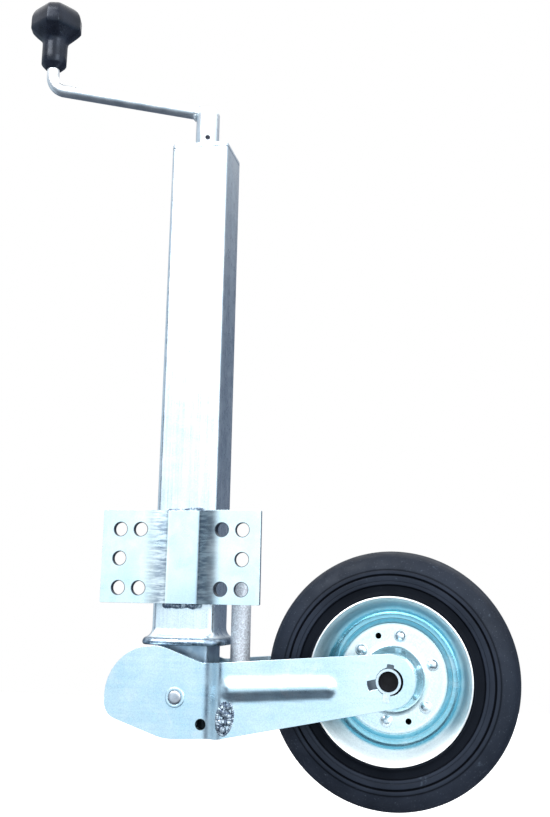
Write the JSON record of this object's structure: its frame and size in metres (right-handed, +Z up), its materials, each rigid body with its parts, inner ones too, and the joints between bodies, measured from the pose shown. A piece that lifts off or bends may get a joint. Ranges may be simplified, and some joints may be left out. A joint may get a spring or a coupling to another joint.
{
  "type": "trailer jack wheel",
  "caption": "Side-wind trailer jack: square tube on a drilled mounting plate, cranked spindle with a faceted knob, and a fork that folds up its solid rubber wheel.",
  "frame": {"origin": "centre of the mounting plate's hole pattern, on the front face of its two wings", "axes": "+X along the folded fork towards the wheel, +Y from the mounting plate into the square tube, +Z up along the tube towards the crank"},
  "size_m": [0.5235, 0.1224, 0.8399],
  "materials": {
    "zinc": "blue-passivated zinc plate on square tube",
    "plate_zinc": "blue-passivated zinc plate on rolled sheet",
    "fork_zinc": "blue-passivated zinc plate on pressed sheet",
    "collar_zinc": "blue-passivated zinc plate, bright where it is flared",
    "rim_zinc": "glossy blue-passivated zinc plate on spun sheet",
    "rivet_zinc": "bright zinc-plated rivet heads",
    "rod_zinc": "smooth bright zinc-plated round rod",
    "plain_steel": "machined steel, lightly oiled",
    "oiled_steel": "dark steel with a film of oil",
    "stop_zinc": "dull speckled zinc plate on round bar",
    "bearing_steel": "ground bearing steel",
    "bronze": "sintered bronze",
    "weld": "plated weld bead",
    "nylon": "natural nylon",
    "black_nylon": "black moulded nylon",
    "knob_plastic": "glossy black moulded plastic",
    "seal_rubber": "black nitrile rubber",
    "tyre_rubber": "solid dark blue-grey rubber, moulded"
  },
  "bodies": {
    "outer": {"outer_tube": "zinc", "bell_mouth": "collar_zinc", "top_cap": "zinc", "mounting_plate": "plate_zinc", "plate_welds": "weld", "guide_liner": "nylon", "top_bush": "bronze", "thrust_race_upper": "bearing_steel"},
    "crank": {"spindle": "plain_steel", "thrust_race_lower": "bearing_steel", "thrust_cage": "bronze", "thrust_balls": "bearing_steel", "crank_socket": "zinc", "roll_pin": "plain_steel", "crank_rod": "rod_zinc", "crank_weld": "rod_zinc", "knob_push_nut": "plain_steel"},
    "knob": {"knob": "knob_plastic", "knob_cap": "knob_plastic"},
    "inner": {"inner_tube": "zinc", "spindle_nut": "bronze", "guide_ring": "nylon", "pivot_bush": "bronze"},
    "fork": {"fork_plate_near": "fork_zinc", "fork_plate_far": "fork_zinc", "fork_crossbar": "zinc", "crossbar_welds": "weld", "fold_stop": "stop_zinc", "fold_stop_weld": "weld", "pivot_pin": "plain_steel", "pivot_ring_near": "zinc", "pivot_ring_far": "zinc", "axle_tube": "zinc", "axle_key_upper": "oiled_steel", "axle_key_side": "oiled_steel", "axle_key_lower": "rivet_zinc", "axle_plug_near": "black_nylon", "axle_plug_far": "black_nylon", "axle_spacer_near": "black_nylon", "axle_spacer_far": "black_nylon"},
    "wheel": {"tyre": "tyre_rubber", "rim_near": "rim_zinc", "rim_far": "rim_zinc", "rim_rivets": "rivet_zinc", "hub_tube": "rim_zinc", "rollers_near": "bearing_steel", "rollers_far": "bearing_steel", "roller_cage_near": "nylon", "roller_cage_far": "nylon", "hub_seal_near": "seal_rubber", "hub_seal_far": "seal_rubber"}
  },
  "joints": [
    {"name": "crank_turn", "type": "hinge", "parent": "outer", "child": "crank", "pos_m": [0, 0.045, 0.44], "axis": [0, 0, 1], "range_deg": [0, 21600]},
    {"name": "inner_slide", "type": "slide", "parent": "outer", "child": "inner", "axis": [0, 0, -1], "range_m": [0, 0.24]},
    {"name": "fork_fold", "type": "hinge", "parent": "inner", "child": "fork", "pos_m": [0, 0.045, -0.1255], "axis": [0, 1, 0], "range_deg": [0, 90]},
    {"name": "wheel_spin", "type": "hinge", "parent": "fork", "child": "wheel", "pos_m": [0.1974, 0.045, -0.1044], "axis": [0, 1, 0], "continuous": true},
    {"name": "knob_spin", "type": "hinge", "parent": "crank", "child": "knob", "pos_m": [-0.183, 0.045, 0.57], "axis": [0, 0, 1], "continuous": true}
  ],
  "couplings": [
    {"joint": "inner_slide", "follows": "crank_turn", "m_per_rad": 0.00063662},
    {"joint": "fork_fold", "follows": "crank_turn", "ratio": 0.0041667}
  ]
}
